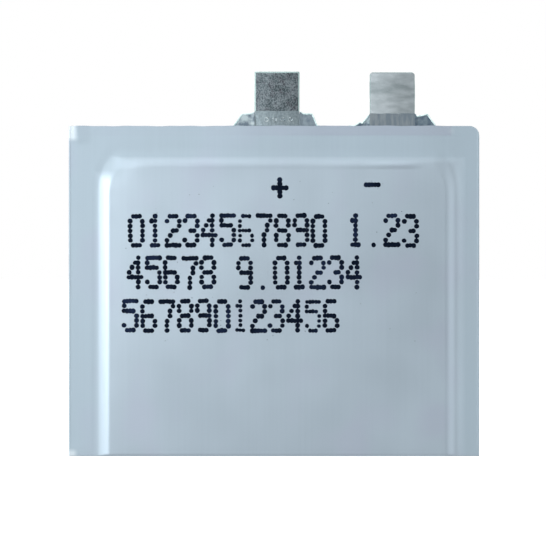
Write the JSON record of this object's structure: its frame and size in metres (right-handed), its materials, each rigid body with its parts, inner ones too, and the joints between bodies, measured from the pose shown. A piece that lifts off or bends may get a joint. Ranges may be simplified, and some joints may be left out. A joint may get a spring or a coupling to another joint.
{
  "type": "pouch battery cell",
  "caption": "Ultra-thin rechargeable pouch cell: folded laminate pouch with a shallow formed pocket, sealed edges and two flat tabs through the top seal.",
  "frame": {"origin": "on the lowest line of the bottom fold, midway across the width and midway through the thickness", "axes": "+X across the cell from the positive tab towards the negative tab, +Y out of the flat rear face, +Z from the bottom fold up to the tabs"},
  "size_m": [0.0274, 0.0004, 0.0256],
  "materials": {
    "nylon_film": "satin",
    "printed_ink": "matte",
    "barrier_foil": "satin",
    "sealant_film": "satin",
    "aluminium_tab": "satin",
    "nickel_extension": "matte",
    "weld_metal": "satin",
    "nickel_tab": "satin",
    "tab_film": "satin",
    "cathode_foil": "satin",
    "cathode_coating": "matte",
    "copper_foil": "satin",
    "anode_coating": "matte",
    "separator": "matte",
    "weld_tape": "satin",
    "stack_tape": "satin"
  },
  "bodies": {
    "root": {"pouch_nylon_outer_film": "nylon_film", "pouch_aluminium_barrier_foil": "barrier_foil", "pouch_sealant_inner_film": "sealant_film", "positive_tab": "aluminium_tab", "positive_tab_extension": "nickel_extension", "positive_tab_weld_1": "weld_metal", "positive_tab_weld_2": "weld_metal", "positive_tab_weld_3": "weld_metal", "positive_tab_weld_4": "weld_metal", "negative_tab": "nickel_tab", "positive_tab_film_front": "tab_film", "positive_tab_film_rear": "tab_film", "negative_tab_film_front": "tab_film", "negative_tab_film_rear": "tab_film", "cathode_foil": "cathode_foil", "cathode_coating_front": "cathode_coating", "cathode_coating_rear": "cathode_coating", "anode_foil_front": "copper_foil", "anode_foil_rear": "copper_foil", "anode_coating_front": "anode_coating", "anode_coating_rear": "anode_coating", "separator_front": "separator", "separator_rear": "separator", "positive_weld_tape_front": "weld_tape", "positive_weld_tape_rear": "weld_tape", "negative_weld_tape_front": "weld_tape", "negative_weld_tape_rear": "weld_tape", "stack_tape_left": "stack_tape", "stack_tape_right": "stack_tape", "stack_tape_bottom": "stack_tape"}
  },
  "joints": []
}
